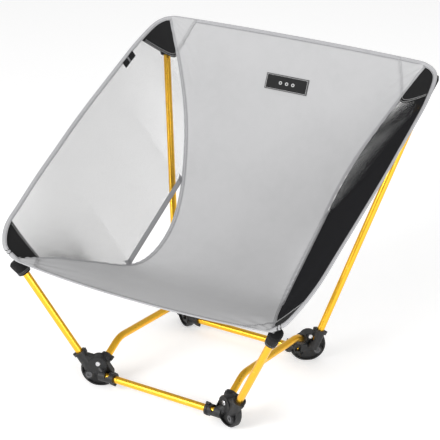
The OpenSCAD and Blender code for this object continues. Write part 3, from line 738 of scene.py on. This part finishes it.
# ---- Corners ------------------------------------------------------------------------------------------
def corner_v(t, s, end):
    """Down a corner patch: t runs from its free end, which is straight across in s, to the corner."""
    free, tip = (PATCH_FRONT_END, PATCH_FRONT_TIP) if end == "front" else (PATCH_REAR_END, PATCH_REAR_TIP)
    start = free[0] + (free[1] - free[0]) * s
    return start + (tip - start) * t


def make_patches(look):
    for corner in CORNERS:
        end, side = corner.split("_")
        k, t = np.meshgrid(np.linspace(0, 1, 30), np.linspace(0, 1, 36))
        wide = side_width(corner_v(t, k, end))
        first, last = np.minimum(0.45, 0.0006 / wide), np.maximum(0.55, 1 - 0.0045 / wide)
        s = first + (last - first) * k
        grid = side_point(s, corner_v(t, s, end))
        bulge = 0.0014 * np.sin(math.pi * k) * np.sin(math.pi * np.clip(t * 1.1, 0, 1))
        lift = 0.0012 - 0.0007 * smooth(k, 0.82, 1) - 0.0005 * smooth(t, 0.75, 1) + bulge
        if end == "front":
            grid, lift = grid[::-1], lift[::-1]
        grid = grid + grid_normals(grid) * SITTER * lift[..., None]
        obj = dressed(f"corner_patch_{corner}", cloth(grid, look.cloth_thickness), "patch_black", corner,
                      (f"patch_{corner}",))
        across = np.linspace(0.03, 0.9, 60)
        row_size = 0.04 if end == "front" else 0.055
        rows = []
        for inset in (0.0014, 0.0042):
            step = inset / row_size * (-1 if end == "front" else 1)
            rows.append(on_side(across, corner_v(np.zeros(60), across, end) + step, SITTER * 0.0021))
        threads = dressed(f"patch_stitches_{corner}", joined(stitches(p, n * SITTER) for p, n in rows),
                          "patch_black", corner, thread="thread_pale")
        declare(grid, round_size)


def gusset_reach(v, end):
    """How far out the gusset starts: from part of the panel's half width at the edge, to the seam."""
    if end == "front":
        return GUSSET_FRONT_U + (1 - GUSSET_FRONT_U) * v / GUSSET_FRONT_END
    return GUSSET_REAR_U + (1 - GUSSET_REAR_U) * (ROWS - v) / (ROWS - GUSSET_REAR_END)


def make_gussets(look):
    """A second layer of the panel's cloth in each corner of the seat, folded under along its slanting
    edge, with two rows of stitches."""
    for corner in CORNERS:
        end, side = corner.split("_")
        if end == "front":
            v = np.linspace(0.06, GUSSET_FRONT_END * 0.86, 40)
        else:
            v = np.linspace(ROWS - (ROWS - GUSSET_REAR_END) * 0.86, ROWS - 0.03, 40)
        low = gusset_reach(v, end)
        u = low[:, None] + (0.985 - low)[:, None] * np.linspace(0, 1, 26)[None, :]
        grid = panel_grid(u, np.broadcast_to(v[:, None], u.shape), side)
        fold = 0.0006 * np.exp(-np.linspace(0, 1, 26) * 9)
        grid = grid + grid_normals(grid) * SITTER * (0.0012 + fold)[None, :, None]
        obj = dressed(f"corner_gusset_{corner}", cloth(grid, look.cloth_thickness), "panel_grey", corner,
                      (f"gusset_{corner}",))
        seam = spline(SIDE_SEAM, v)[..., 0]
        rows = [on_panel(low + d / seam, v, SITTER * 0.0022, side) for d in (0.0016, 0.0042)]
        threads = dressed(f"gusset_stitches_{corner}", joined(stitches(p, n * SITTER) for p, n in rows),
                          "panel_grey", corner, thread="thread_grey")
        declare(grid, round_size)


# Two points on each seat pole's axis, in mm from the line of the front feet, and the length of its tip
POLE_MOUTH = {"front": (153, -15.6, 59), "rear": (143.7, 259.9, 59)}
TIP_END = {"front": (239.5, -55.9, 216), "rear": (258, 407, 485)}
TIP_LONG = 0.012


def pole_line(end):
    """The top of a seat pole and its axis, on the right-hand side. The axis runs from the socket's mouth
    to the end of the tip, and the pole stops a tip's length short of it."""
    low, high = (MM * np.array(ends[end]) for ends in (POLE_MOUTH, TIP_END))
    axis = unit(high - low)
    return high - axis * TIP_LONG, axis


# A pocket's length down its pole, and its half width and half depth at the cloth and at its mouth
POCKET_LONG = {"front": 0.009, "rear": 0.036}
POCKET_WIDE = {"front": (0.0145, 0.0106), "rear": (0.0175, 0.0104)}
POCKET_DEEP = {"front": (0.0108, 0.0092), "rear": (0.0102, 0.0090)}
# The way that a pocket's broad side faces, and how far past the pole's top its closed end reaches
POCKET_FACE = {"front": (0.669, 0.254, -0.699), "rear": (0.637, 0.477, -0.606)}
POCKET_ABOVE = 0.0145
POCKET_SIDES = 48
# The mouth's turned-in rings: how far along each is, as a share of the length, and its share of the size
LIP_AT = (1.03, 1.05, 1.04, 0.99, 0.9)
LIP_SIZE = np.array((0.96, 0.88, 0.8, 0.76, 0.74))


def make_pockets(look):
    """The sleeve that takes a pole's end: an oval section, the cosine and sine of the angle to the power
    0.8, that is broad at the cloth and narrows to the pole. It is turned in at its mouth, and has two rows
    of stitches round it."""
    for corner in CORNERS:
        end, side = corner.split("_")
        top, axis = pole_line(end)
        across = unit(np.cross(axis, POCKET_FACE[end]))
        up = np.cross(axis, across)
        reach = POCKET_LONG[end]
        t = np.concatenate([np.linspace(0, 1, 22), LIP_AT])
        cloth_end, mouth = POCKET_WIDE[end]
        deep_end, deep_mouth = POCKET_DEEP[end]
        outward = (reach + POCKET_ABOVE + 0.0015) * t
        half_wide = cloth_end + (mouth - cloth_end) * smooth(t, 0, 1)
        half_deep = deep_end + (deep_mouth - deep_end) * smooth(t, 0, 1)
        shut = 1 - 0.2 * (1 - smooth(t, 0, 0.12))
        half_wide, half_deep = half_wide * shut, half_deep * shut
        half_wide[-len(LIP_SIZE):] = mouth * LIP_SIZE - 0.0008
        half_deep[-len(LIP_SIZE):] = deep_mouth * LIP_SIZE + 0.0004
        angle = np.arange(POCKET_SIDES) * 2 * math.pi / POCKET_SIDES
        c, s = np.cos(angle), np.sin(angle)
        fade = np.sin(math.pi * np.clip(t, 0, 1))[:, None]
        creases = 1 + 0.018 * np.sin(5 * angle[None, :] + 6 * t[:, None]) * fade
        wide = np.sign(c) * np.abs(c) ** 0.8 * half_wide[:, None] * creases
        deep = np.sign(s) * np.abs(s) ** 0.8 * half_deep[:, None] * creases
        centre = top + axis * POCKET_ABOVE - axis * outward[:, None]
        points = centre[:, None] + across * wide[..., None] + up * deep[..., None]
        n, k = len(t), POCKET_SIDES
        i, j = np.meshgrid(np.arange(n - 1), np.arange(k), indexing="ij")
        a, b = (i * k + j).ravel(), (i * k + (j + 1) % k).ravel()
        quads = np.stack([a, a + k, b + k, b], 1)
        caps = [np.arange(k), (n - 1) * k + np.arange(k)[::-1]]
        round_it = np.minimum(angle, 2 * math.pi - angle) * 0.012
        uv = np.stack(np.broadcast_arrays(round_it, outward[:, None]), -1)
        shape = Shape(points, quads, caps, uv)
        if np.linalg.det(np.stack([across, up, -axis])) > 0:
            shape = Shape(points, quads[:, ::-1], [c[::-1] for c in caps], uv)
        dressed(f"pole_pocket_{corner}", shape, "patch_black", nodes=(f"pocket_{corner}",), side=side,
                body=f"{corner}_pole")
        rings = []
        for row in (17, 19):
            loop = np.vstack([points[row], points[row][:1]])
            facing = unit(loop - centre[row])
            rings.append(stitches(loop + facing * 0.0001, facing, 0.0026, 0.0018))
        dressed(f"pocket_stitches_{corner}", joined(rings), "patch_black", side=side,
                body=f"{corner}_pole", thread="thread_grey")


# ---- Edges --------------------------------------------------------------------------------------------
BINDING_R = 0.0038


def side_rim(v):
    """The outer edge of the sling, drawn in towards the seat by the binding's radius."""
    edge = spline(SIDE_EDGE, v)
    along = unit(spline(SIDE_EDGE, np.minimum(v + 0.02, ROWS)) - spline(SIDE_EDGE, np.maximum(v - 0.02, 0)))
    to = panel_point(0.55, np.clip(v, 1.6, 11)) - edge
    inward = unit(to - along * (to * along).sum(-1, keepdims=True))
    return edge + inward * BINDING_R, inward


def end_rim(u, end):
    """The front or top edge of the centre panel, drawn in by the binding's radius."""
    v, step = (0.0, 0.3) if end == "front" else (float(ROWS), -0.3)
    edge = panel_point(u, v)
    inward = unit(panel_point(u, v + step) - edge)
    return edge + inward * BINDING_R, inward


def rim_of(end):
    """The edge of the sling round one corner, from the middle of the front or top to the middle of the
    side, with the direction in from the edge and the cloth's normal, at equal steps."""
    u = np.linspace(0, 0.955 if end == "front" else 0.965, 60)
    v = np.linspace(0.42, HALF_ROW, 60) if end == "front" else np.linspace(11.72, HALF_ROW, 60)
    a, b = end_rim(u, end), side_rim(v)
    path, inward = np.vstack([a[0], b[0]]), np.vstack([a[1], b[1]])
    path, inward = even(path, 0.003, inward)
    for _ in range(3):
        path[1:-1] = 0.25 * path[:-2] + 0.5 * path[1:-1] + 0.25 * path[2:]
        inward[1:-1] = 0.25 * inward[:-2] + 0.5 * inward[1:-1] + 0.25 * inward[2:]
    along = unit(np.gradient(path, axis=0))
    out = np.cross(along, unit(inward))
    away = path - np.array((0, 0.14, 0.36))
    return path, unit(inward), unit(out * np.sign((out * away).sum(-1, keepdims=True)))


def make_bindings(look):
    """The tape folded over the edge: a flattened oval, a little fuller at the fold, with a row of
    stitches near its inner edge on both faces."""
    for corner in CORNERS:
        end, side = corner.split("_")
        path, inward, normal = rim_of(end)
        profile = flat_oval(2 * BINDING_R, look.binding_thickness, 16)
        turned = band(path, normal, profile)
        middle = "binding_front" if end == "front" else "binding_top"
        nodes = [f"binding_corner_{corner}", f"binding_{side}", middle]
        dressed(f"edge_binding_{corner}", turned, "binding_grey", corner, nodes, crease=80.0)
        rise = look.binding_thickness / 2 - 0.0001
        rows = [stitches(path + inward * 0.0022 + normal * rise * f, normal * f, 0.0028, 0.0021, 0.00036)
                for f in (1, -1)]
        dressed(f"binding_stitches_{corner}", joined(rows), "binding_grey", corner, thread="thread_dark")


def make_label(look):
    """A plain black label high on the back: a woven border, a thin pale frame and three pale discs."""
    half_w, half_h = 0.0405, 0.0140
    row = 11.08
    row_m = float(np.linalg.norm(MID_LINE[12] - MID_LINE[11]))

    def at(x, y, lift):
        v = row + y / row_m
        u = x / spline(SIDE_SEAM, v)[..., 0]
        p = panel_point(u, v)
        ahead = panel_point(u, v + 0.02) - panel_point(u, v - 0.02)
        return p + unit(np.cross(ahead, np.broadcast_to((1.0, 0, 0), p.shape))) * SITTER * lift

    x, y = np.meshgrid(np.linspace(-half_w, half_w, 40), np.linspace(-half_h, half_h, 14))
    grid = at(x, y, 0.0012)
    obj = dressed("label_cloth", cloth(grid, 0.0007), "label_black", nodes=("back_label",), body="root")
    pieces = []
    for inset, width in ((0.0016, 0.0005),):
        w, h = half_w - inset, half_h - inset
        low, high = -h + width, h - width
        for x0, x1, y0, y1 in ((-w, w, high, h), (-w, w, -h, low),
                               (-w, -w + width, low, high), (w - width, w, low, high)):
            gx, gy = np.meshgrid(np.linspace(x0, x1, 24), np.linspace(y0, y1, 6))
            pieces.append(cloth(at(gx, gy, 0.0017), 0.0003))
    ring = np.linspace(0, 2 * math.pi, 33)
    for centre in (-0.012, 0.0, 0.012):
        r, a = np.meshgrid(np.linspace(0.0016, 0.0030, 4), ring)
        pieces.append(cloth(at(centre + r * np.cos(a), r * np.sin(a), 0.0017), 0.0003))
    mark = dressed("label_pattern", joined(pieces), "label_black", body="root", thread="thread_pale")
    w, h = half_w - 0.0007, half_h - 0.0007
    outline = np.array([(-w, -h), (w, -h), (w, h), (-w, h), (-w, -h)])
    turns = even(np.column_stack([outline, np.zeros(5)]), 0.001)
    path = at(turns[:, 0], turns[:, 1], 0.0016)
    up = at(turns[:, 0], turns[:, 1], 0.0026) - path
    threads = dressed("label_stitches", stitches(path, up, 0.0024, 0.0016), "label_black", body="root",
                      thread="thread_grey")
    declare(grid)


def make_tab(look):
    """A short loop of black webbing under the left edge: a strip that lies along the edge, its two cut
    ends lifted a little, with a bar of stitches across."""
    v = np.linspace(9.06, 9.68, 30)
    wide = side_width(v)
    out = np.linspace(0.0062, 0.0170, 9)
    lift = 0.0016 + 0.0022 * np.abs(np.linspace(-1, 1, 30)) ** 3
    grid = np.stack([on_side(1 - d / wide, v, SITTER * lift[:, None])[0] for d in out], 1)
    obj = dressed("webbing_tab", cloth(grid, 0.0016), "patch_black", "rear_left", ("side_tab",))
    rows = []
    for step in np.linspace(-0.03, 0.03, 5):
        v_bar = np.full(6, 9.37 + step)
        d = np.linspace(0.0072, 0.016, 6)
        rows.append(on_side(1 - d / side_width(v_bar), v_bar, SITTER * 0.0025))
    threads = dressed("tab_stitches", joined(stitches(p, n * SITTER, 0.0016, 0.0015) for p, n in rows),
                      "patch_black", "rear_left", thread="thread_grey")
    declare(grid)


# ---- Frame finishes and stage ---------------------------------------------------------------------------
def finish_frame(look):
    """The finish of every hard piece of the frame, by the record's slot for its node."""
    for part in frame["record"]["subparts"]:
        obj = frame["nodes"][part["node"]]
        if obj.hide_render:
            continue
        material = finish_of(part["material_slot"])
        for slot in obj.material_slots:
            slot.material = material
        if not obj.material_slots:
            raise RuntimeError(f"{part['node']} has no material slot")


def aim(obj, at):
    obj.rotation_mode = "QUATERNION"
    obj.rotation_quaternion = (Vector(at) - obj.location).to_track_quat("-Z", "Y")


def make_camera(look):
    """The camera at the chair's front left, a little above it, with a long lens."""
    data = bpy.data.cameras.new("camera")
    data.sensor_width, data.lens = 36.0, look.lens
    data.clip_start, data.clip_end = 0.1, 60.0
    camera = bpy.data.objects.new("camera", data)
    bpy.context.scene.collection.objects.link(camera)
    camera.location = (1.3512, FRONT_FEET_Y - 1.9961, 1.3741)
    a, e = math.radians(look.azimuth), math.radians(look.elevation)
    back = Vector((math.sin(a) * math.cos(e), -math.cos(a) * math.cos(e), math.sin(e)))
    camera.rotation_mode = "QUATERNION"
    camera.rotation_quaternion = (-back).to_track_quat("-Z", "Y")
    bpy.context.scene.camera = camera


def add_light(name, place, at, size, power):
    data = bpy.data.lights.new(name, "AREA")
    data.shape, data.size, data.energy = "DISK", size, power
    lamp = bpy.data.objects.new(name, data)
    bpy.context.scene.collection.objects.link(lamp)
    lamp.location = place
    aim(lamp, at)


def make_stage(look):
    bpy.context.scene.view_settings.view_transform = "Standard"
    world = bpy.data.worlds.new("studio")
    world.use_nodes = True
    world.node_tree.nodes["Background"].inputs[0].default_value = (1, 1, 1, 1)
    world.node_tree.nodes["Background"].inputs[1].default_value = look.sky
    bpy.context.scene.world = world
    add_light("key", (-1.1, -2.7, 1.6), (0, 0, 0.25), 1.6, look.key)
    add_light("fill", (2.4, -1.5, 1.1), (0, 0, 0.25), 1.5, look.fill)
    add_light("top", (0.2, 0.9, 2.6), (0, 0, 0.2), 2.0, look.top)
    mesh = bpy.data.meshes.new("floor")
    reach = 12.0
    mesh.from_pydata([(-reach, -reach, 0), (reach, -reach, 0), (reach, reach, 0), (-reach, reach, 0)],
                     [], [(0, 1, 2, 3)])
    floor = bpy.data.objects.new("floor", mesh)
    bpy.context.scene.collection.objects.link(floor)
    material, w, shader = new_material(
        "floor_white", Base_Color=(0.85, 0.85, 0.85, 1), Roughness=0.85, Emission_Color=(1, 1, 1, 1),
        Emission_Strength=0.33)
    at = w.node("ShaderNodeTexCoord").outputs["Object"]
    drift = group_node(w, "Mottle", {"Vector": at, "Scale": 3.0})["Value"]
    w.tree.links.new(w.math("MULTIPLY_ADD", drift, 0.1, 0.85), shader.inputs["Roughness"])
    mesh.materials.append(material)


# ---- The add-on -------------------------------------------------------------------------------------------
def colour_prop(name, description, code):
    return bpy.props.FloatVectorProperty(
        name=name, description=description, subtype="COLOR", size=3, min=0, max=1, default=linear(code)[:3])


def length_prop(name, description, metres):
    return bpy.props.FloatProperty(name=name, description=description, default=metres, unit="LENGTH")


def power_prop(name, description, watts):
    return bpy.props.FloatProperty(name=name, description=description, default=watts, subtype="POWER")


class CHAIR_PG_looks(bpy.types.PropertyGroup):
    """The sizes, colours and light of the chair."""

    cloth: colour_prop("Cloth", "Colour of the seat's cloth", "#b5b5b6")
    tape: colour_prop("Binding", "Colour of the edge tape", "#acacae")
    pole: colour_prop("Poles", "Colour of the anodised tube", "#fbc23c")
    trim: colour_prop("Corner patches", "Colour of the patches and pockets", "#161617")
    net: colour_prop("Net", "Colour of the side panels' net", "#262628")
    cloth_thickness: length_prop("Cloth thickness", "Thickness of the sling's cloth", 0.0007)
    strap_width: length_prop("Strap width", "Width of the strap along each hip slot", 0.0088)
    binding_thickness: length_prop("Binding thickness", "Thickness of the folded edge tape", 0.0028)
    net_pitch: length_prop("Net pitch", "Distance between the net's threads", 0.0014)
    net_thread: length_prop("Net thread", "Width of the net's threads", 0.00006)
    net_depth: length_prop("Net depth", "Depth of the net's threads", 0.00052)
    lens: bpy.props.FloatProperty(
        name="Lens", description="Focal length", default=140.25, subtype="DISTANCE_CAMERA")
    azimuth: bpy.props.FloatProperty(
        name="Azimuth", description="Camera's angle round the chair, in degrees", default=31.91)
    elevation: bpy.props.FloatProperty(
        name="Elevation", description="Camera's angle above the floor, in degrees", default=23.587)
    sky: bpy.props.FloatProperty(name="Sky", description="Strength of the even light", default=0.55)
    key: power_prop("Key", "Power of the left light", 66.0)
    fill: power_prop("Fill", "Power of the right light", 40.0)
    top: power_prop("Top", "Power of the rear light", 8.0)


class ChairStep(bpy.types.Operator):
    """Makes one group of the chair's pieces."""

    bl_options = {"REGISTER"}
    make = None

    def execute(self, context):
        type(self).make(context.scene.chair_looks)
        return {"FINISHED"}


class CHAIR_OT_camera(ChairStep):
    """Place the camera"""

    bl_idname, bl_label, make = "chair.camera", "Camera", staticmethod(make_camera)


class CHAIR_OT_seat(ChairStep):
    """Make the centre panel, which is the seat and the back"""

    bl_idname, bl_label, make = "chair.seat", "Centre panel", staticmethod(make_seat)


class CHAIR_OT_seam_tapes(ChairStep):
    """Make the tapes over the seams"""

    bl_idname, bl_label, make = "chair.seam_tapes", "Seam tapes", staticmethod(make_seam_tapes)


class CHAIR_OT_nets(ChairStep):
    """Make the net side panels"""

    bl_idname, bl_label, make = "chair.nets", "Net panels", staticmethod(make_nets)


class CHAIR_OT_straps(ChairStep):
    """Make the straps along the hip slots"""

    bl_idname, bl_label, make = "chair.straps", "Slot straps", staticmethod(make_straps)


class CHAIR_OT_patches(ChairStep):
    """Make the black corner patches"""

    bl_idname, bl_label, make = "chair.patches", "Corner patches", staticmethod(make_patches)


class CHAIR_OT_gussets(ChairStep):
    """Make the pale corner gussets"""

    bl_idname, bl_label, make = "chair.gussets", "Corner gussets", staticmethod(make_gussets)


class CHAIR_OT_pockets(ChairStep):
    """Make the sleeves for the pole ends"""

    bl_idname, bl_label, make = "chair.pockets", "Pole pockets", staticmethod(make_pockets)


class CHAIR_OT_bindings(ChairStep):
    """Make the tape round the sling's edge"""

    bl_idname, bl_label, make = "chair.bindings", "Edge binding", staticmethod(make_bindings)


class CHAIR_OT_label(ChairStep):
    """Make the plain label on the back"""

    bl_idname, bl_label, make = "chair.label", "Label", staticmethod(make_label)


class CHAIR_OT_tab(ChairStep):
    """Make the webbing tab on the left edge"""

    bl_idname, bl_label, make = "chair.tab", "Webbing tab", staticmethod(make_tab)


class CHAIR_OT_frame(ChairStep):
    """Give the poles, hubs and feet their finishes"""

    bl_idname, bl_label, make = "chair.frame", "Frame finishes", staticmethod(finish_frame)


class CHAIR_OT_stage(ChairStep):
    """Make the floor and the lights"""

    bl_idname, bl_label, make = "chair.stage", "Stage", staticmethod(make_stage)


STEPS = (CHAIR_OT_camera, CHAIR_OT_seat, CHAIR_OT_seam_tapes, CHAIR_OT_nets, CHAIR_OT_straps,
         CHAIR_OT_patches, CHAIR_OT_gussets, CHAIR_OT_pockets, CHAIR_OT_bindings, CHAIR_OT_label,
         CHAIR_OT_tab, CHAIR_OT_frame, CHAIR_OT_stage)


class CHAIR_PT_panel(bpy.types.Panel):
    """The chair's settings and the steps that make it"""

    bl_idname, bl_label = "CHAIR_PT_panel", "Camp Chair"
    bl_space_type, bl_region_type, bl_category = "VIEW_3D", "UI", "Camp Chair"

    def draw(self, context):
        for key in CHAIR_PG_looks.__annotations__:
            self.layout.prop(context.scene.chair_looks, key)
        for step in STEPS:
            self.layout.operator(step.bl_idname)


CLASSES = (CHAIR_PG_looks, *STEPS, CHAIR_PT_panel)


def register():
    for c in CLASSES:
        bpy.utils.register_class(c)
    bpy.types.Scene.chair_looks = bpy.props.PointerProperty(type=CHAIR_PG_looks)


def unregister():
    del bpy.types.Scene.chair_looks
    for c in reversed(CLASSES):
        bpy.utils.unregister_class(c)


def main():
    register()
    for step in STEPS:
        group, name = step.bl_idname.split(".")
        getattr(getattr(bpy.ops, group), name)()


if __name__ == "__main__":
    main()
